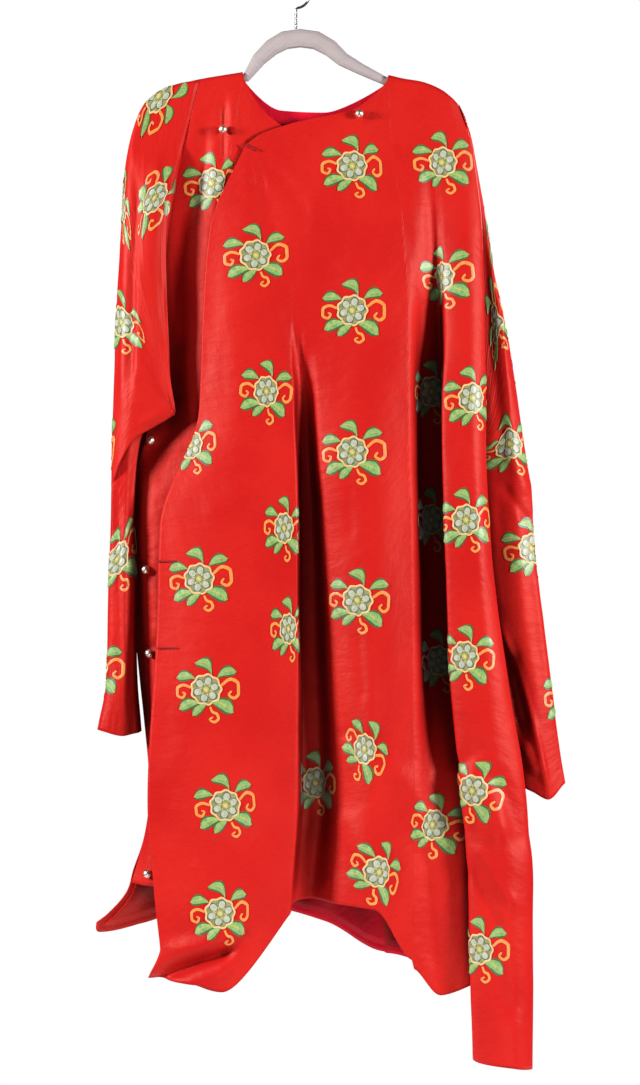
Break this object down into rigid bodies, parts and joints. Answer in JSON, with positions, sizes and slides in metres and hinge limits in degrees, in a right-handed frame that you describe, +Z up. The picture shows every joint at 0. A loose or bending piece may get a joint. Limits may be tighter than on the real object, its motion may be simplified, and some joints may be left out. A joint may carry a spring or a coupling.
{
  "type": "changshan on a clothes hanger",
  "caption": "Long Chinese robe of red satin with a round neck, side closing, ball buttons and long sleeves, hanging on a shaped clothes hanger.",
  "frame": {"origin": "under the crown of the hanger's hook, where a rail holds it", "axes": "+Z up along the hook's stem, +X towards the wearer's left, so the robe's front faces -Y"},
  "size_m": [0.6592, 0.1775, 1.5116],
  "materials": {
    "satin": "glossy silk satin with embroidered flower sprays",
    "lining": "plain silk lining",
    "button_metal": "polished pale metal",
    "cord": "rolled satin cord",
    "hanger_plastic": "satin moulded",
    "hook_chrome": "bright plated wire"
  },
  "bodies": {
    "root": {"front": "satin", "under_front": "satin", "back": "satin", "sleeve_right": "satin", "sleeve_left": "satin", "back_lining": "lining", "button_neck": "button_metal", "button_chest": "button_metal", "button_underarm": "button_metal", "button_waist": "button_metal", "button_hip": "button_metal", "button_vent": "button_metal", "loop_chest": "cord", "loop_waist": "cord", "loop_hip": "cord", "hanger": "hanger_plastic", "hook": "hook_chrome"}
  },
  "joints": []
}
